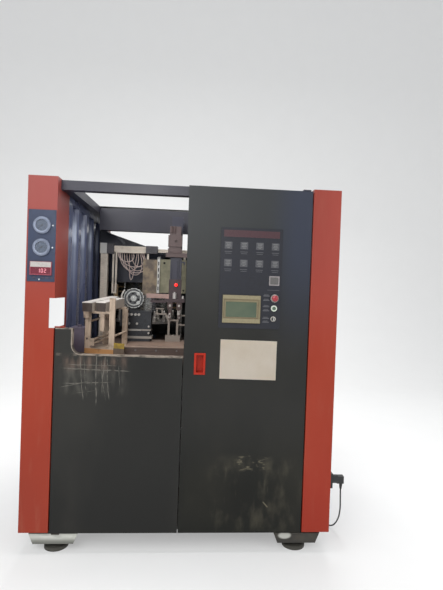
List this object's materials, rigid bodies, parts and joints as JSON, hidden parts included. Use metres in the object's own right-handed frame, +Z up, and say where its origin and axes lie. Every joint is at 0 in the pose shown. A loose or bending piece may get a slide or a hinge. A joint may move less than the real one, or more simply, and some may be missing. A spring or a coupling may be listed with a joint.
{
  "type": "blow moulding machine",
  "caption": "Cabinet-built stretch blow moulding machine with orange corner posts, dark doors, an open infeed window, preform turret, oven and clamp unit.",
  "frame": {"origin": "centre of the footprint of the cabinet at floor level", "axes": "+Z up, -Y towards the operator at the front doors, +X to the operator's right"},
  "size_m": [1.732, 1.525, 1.94],
  "materials": {
    "frame_paint": "satin dark blue paint",
    "post_orange": "satin red-orange powder coat",
    "door_anthracite": "satin anthracite powder coat",
    "side_panel_paint": "glossy blue-black paint",
    "foot_rubber": "matt",
    "fascia_black": "printed overlay",
    "hmi_beige": "moulded",
    "button_red": "gloss",
    "button_green": "gloss",
    "key_metal": "polished",
    "switch_metal": "satin",
    "pull_red": "moulded",
    "gauge_ring": "satin",
    "needle_black": "matt",
    "display_red": "gloss",
    "bed_primer": "matt primer",
    "bar_aluminium": "milled",
    "rail_steel": "brushed",
    "box_grey": "moulded",
    "machine_dark": "oiled",
    "chrome": "polished",
    "guide_blue": "anodised dark blue",
    "motor_brown": "satin",
    "profile_aluminium": "anodised",
    "hose_pink": "translucent",
    "reflector_steel": "bright",
    "lamp_quartz": "quartz tube",
    "shield_board": "board",
    "motor_blue": "satin",
    "machine_blue": "satin",
    "machine_steel": "ground",
    "mould_aluminium": "milled",
    "tank_blue": "gloss",
    "socket_grey": "moulded",
    "plug_black": "moulded",
    "lead_pvc": "extruded"
  },
  "bodies": {
    "root": {"base_frame": "frame_paint", "upper_frame": "frame_paint", "front_left_post": "post_orange", "front_right_post": "post_orange", "rear_posts": "post_orange", "left_side_panel": "side_panel_paint", "right_side_panel": "side_panel_paint", "rear_panel": "door_anthracite", "roof_panel": "door_anthracite", "levelling_feet": "foot_rubber", "gauge_plate": "fascia_black", "pressure_gauges": "gauge_ring", "temperature_display": "display_red", "process_bed": "bed_primer", "infeed_stand": "bar_aluminium", "infeed_rails": "rail_steel", "junction_box": "box_grey", "loader_block": "machine_dark", "pickup_stand": "bar_aluminium", "transfer_column": "guide_blue", "transfer_motor": "motor_brown", "bridge_frame": "profile_aluminium", "hose_bundle": "hose_pink", "oven_housing": "reflector_steel", "oven_lamps": "lamp_quartz", "oven_hood": "guide_blue", "heat_shield": "shield_board", "turret_drive": "motor_blue", "clamp_frame": "machine_blue", "clamp_cylinders": "profile_aluminium", "stretch_portal": "machine_blue", "air_tank": "tank_blue", "switchgear": "box_grey", "side_socket": "socket_grey", "lead_plug": "plug_black", "lead": "lead_pvc", "lead_coil": "lead_pvc", "mains_plug": "plug_black"},
    "left_door": {"left_front_door": "door_anthracite"},
    "right_door": {"right_front_door": "door_anthracite", "control_plate": "fascia_black", "hmi_panel": "hmi_beige", "switch_blocks": "switch_metal", "door_pull": "pull_red"},
    "estop": {"estop_button": "button_red"},
    "start": {"start_button": "button_green"},
    "key": {"key_switch": "key_metal"},
    "upper_pointer": {"upper_needle": "needle_black"},
    "lower_pointer": {"lower_needle": "needle_black"},
    "loader": {"loader_wheel": "chrome"},
    "carriage": {"transfer_carriage": "machine_dark"},
    "left_finger": {"gripper_left": "rail_steel"},
    "right_finger": {"gripper_right": "rail_steel"},
    "turret": {"preform_turret": "rail_steel"},
    "left_clamp": {"left_platen": "machine_steel", "left_mould": "mould_aluminium"},
    "right_clamp": {"right_platen": "machine_steel", "right_mould": "mould_aluminium"},
    "stretch": {"stretch_carriage": "machine_steel"},
    "nozzle": {"nozzle_block": "profile_aluminium"}
  },
  "joints": [
    {"name": "left_door_hinge", "type": "hinge", "parent": "root", "child": "left_door", "pos_m": [-0.627, -0.73, 0.6], "axis": [0, 0, -1], "range_deg": [0, 110]},
    {"name": "right_door_hinge", "type": "hinge", "parent": "root", "child": "right_door", "pos_m": [0.627, -0.73, 0.6], "axis": [0, 0, 1], "range_deg": [0, 110]},
    {"name": "estop_push", "type": "slide", "parent": "right_door", "child": "estop", "axis": [0, 1, 0], "range_m": [0, 0.004]},
    {"name": "start_push", "type": "slide", "parent": "right_door", "child": "start", "axis": [0, 1, 0], "range_m": [0, 0.003], "stiffness_N_per_m": 400, "springref_m": -0.002},
    {"name": "key_turn", "type": "hinge", "parent": "right_door", "child": "key", "pos_m": [0.466, -0.747, 1.248], "axis": [0, 1, 0], "range_deg": [0, 90]},
    {"name": "upper_pointer_turn", "type": "hinge", "parent": "root", "child": "upper_pointer", "pos_m": [-0.733, -0.753, 1.688], "axis": [0, 1, 0], "range_deg": [0, 270], "stiffness_Nm_per_rad": 0.0001},
    {"name": "lower_pointer_turn", "type": "hinge", "parent": "root", "child": "lower_pointer", "pos_m": [-0.733, -0.753, 1.576], "axis": [0, 1, 0], "range_deg": [0, 270], "stiffness_Nm_per_rad": 0.0001},
    {"name": "loader_spin", "type": "hinge", "parent": "root", "child": "loader", "pos_m": [-0.316, -0.32, 1.322], "axis": [0, 1, 0], "continuous": true},
    {"name": "carriage_lift", "type": "slide", "parent": "root", "child": "carriage", "axis": [0, 0, 1], "range_m": [0, 0.12]},
    {"name": "left_finger_grip", "type": "slide", "parent": "carriage", "child": "left_finger", "axis": [1, 0, 0], "range_m": [0, 0.01]},
    {"name": "right_finger_grip", "type": "slide", "parent": "carriage", "child": "right_finger", "axis": [-1, 0, 0], "range_m": [0, 0.01]},
    {"name": "turret_spin", "type": "hinge", "parent": "root", "child": "turret", "pos_m": [-0.3, 0.335, 1.138], "axis": [0, 0, 1], "continuous": true},
    {"name": "left_clamp_close", "type": "slide", "parent": "root", "child": "left_clamp", "axis": [1, 0, 0], "range_m": [0, 0.04]},
    {"name": "right_clamp_close", "type": "slide", "parent": "root", "child": "right_clamp", "axis": [-1, 0, 0], "range_m": [0, 0.04]},
    {"name": "stretch_stroke", "type": "slide", "parent": "root", "child": "stretch", "axis": [0, 0, -1], "range_m": [0, 0.215]},
    {"name": "nozzle_stroke", "type": "slide", "parent": "root", "child": "nozzle", "axis": [0, 0, -1], "range_m": [0, 0.014]}
  ],
  "couplings": [
    {"joint": "right_finger_grip", "follows": "left_finger_grip", "ratio": 1},
    {"joint": "right_clamp_close", "follows": "left_clamp_close", "ratio": 1}
  ]
}
